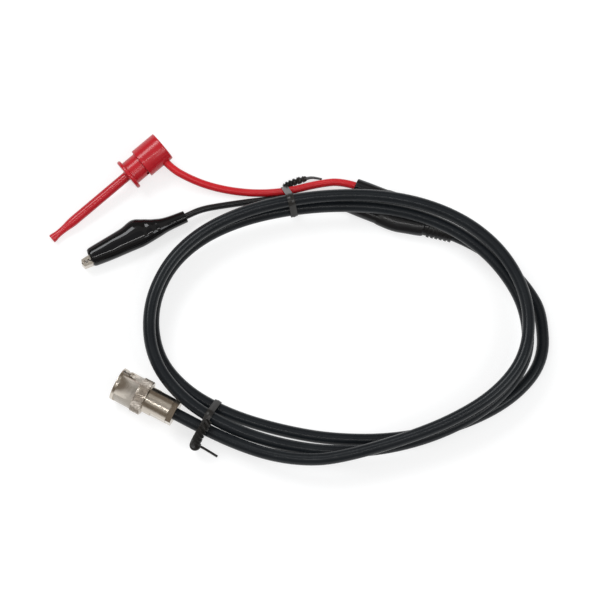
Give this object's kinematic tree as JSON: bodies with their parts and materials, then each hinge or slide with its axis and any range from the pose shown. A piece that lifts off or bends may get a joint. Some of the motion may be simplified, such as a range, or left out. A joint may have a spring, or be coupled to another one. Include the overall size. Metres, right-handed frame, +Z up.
{
  "type": "oscilloscope probe",
  "caption": "Passive coax test lead: bayonet plug, coiled black cable, moulded splitter, red plunger hook grabber and black booted alligator clip.",
  "frame": {"origin": "on the surface the lead lies on, under the middle of the bounding box of the plug, splitter, grabber, clip and ties", "axes": "+Z up from the surface; +X to the right and +Y away from the viewer as pictured, with the plug and the two clips on the -X side"},
  "size_m": [0.1988, 0.1361, 0.0194],
  "materials": {
    "nickel": "bright nickel plate",
    "plated_steel": "nickel-plated sheet",
    "steel": "spring steel",
    "tinned": "tinned brass",
    "gold": "gold flash",
    "copper": "tinned copper strands",
    "gasket": "soft rubber",
    "insulator": "white fluoropolymer",
    "dielectric": "natural polyethylene",
    "cable_jacket": "satin black vinyl",
    "black_moulding": "glossy black moulding",
    "red_insulation": "soft red vinyl",
    "black_insulation": "soft black vinyl",
    "red_nylon": "glossy red moulding",
    "soft_vinyl": "glossy black dipped vinyl",
    "tie_plastic": "black plastic strip"
  },
  "bodies": {
    "lead": {"bnc_body": "nickel", "bnc_retaining_ring": "steel", "bnc_face_gasket": "gasket", "bnc_insulator": "insulator", "bnc_centre_pin": "gold", "bnc_braid_clamp": "nickel", "bnc_cable_gasket": "gasket", "bnc_slip_washer": "nickel", "bnc_clamp_nut": "nickel", "bnc_wave_spring": "steel", "coax_conductor_plug": "copper", "coax_dielectric_plug": "dielectric", "coax_cable": "cable_jacket", "coax_dielectric_junction": "dielectric", "junction_housing": "black_moulding", "splice_red": "tinned", "splice_black": "tinned", "red_lead": "red_insulation", "black_lead": "black_insulation", "grabber_cap": "red_nylon", "grabber_ferrule": "tinned", "grabber_hook": "gold", "grabber_spring": "steel", "clip_lower_jaw": "plated_steel", "clip_pivot_pin": "plated_steel", "clip_torsion_spring": "steel", "clip_boot": "soft_vinyl", "twist_tie_upper": "tie_plastic", "twist_tie_lower": "tie_plastic"},
    "grabber_slider": {"grabber_barrel": "red_nylon"},
    "ring_carrier": {"bnc_thrust_washer": "steel"},
    "coupling_ring": {"bnc_coupling_sleeve": "nickel"},
    "clip_lever": {"clip_lever_jaw": "plated_steel"}
  },
  "joints": [
    {"name": "coupling_push", "type": "slide", "parent": "lead", "child": "ring_carrier", "axis": [-0.8805, 0.4741, 0], "range_m": [0, 0.0009], "stiffness_N_per_m": 2500, "springref_m": -0.0003, "deforming": ["bnc_wave_spring"]},
    {"name": "coupling_turn", "type": "hinge", "parent": "ring_carrier", "child": "coupling_ring", "pos_m": [-0.04738, -0.03958, 0.00725], "axis": [-0.8805, 0.4741, 0], "continuous": true},
    {"name": "grabber_pull", "type": "slide", "parent": "lead", "child": "grabber_slider", "axis": [0.7638, 0.6341, 0.1208], "range_m": [0, 0.0055], "stiffness_N_per_m": 150, "springref_m": -0.005, "deforming": ["grabber_spring"]},
    {"name": "clip_open", "type": "hinge", "parent": "lead", "child": "clip_lever", "pos_m": [-0.0509, 0.02206, 0.004], "axis": [0, 0, -1], "range_deg": [0, 18], "stiffness_Nm_per_rad": 0.03, "springref_deg": -2.86, "deforming": ["clip_torsion_spring", "clip_boot"]}
  ]
}
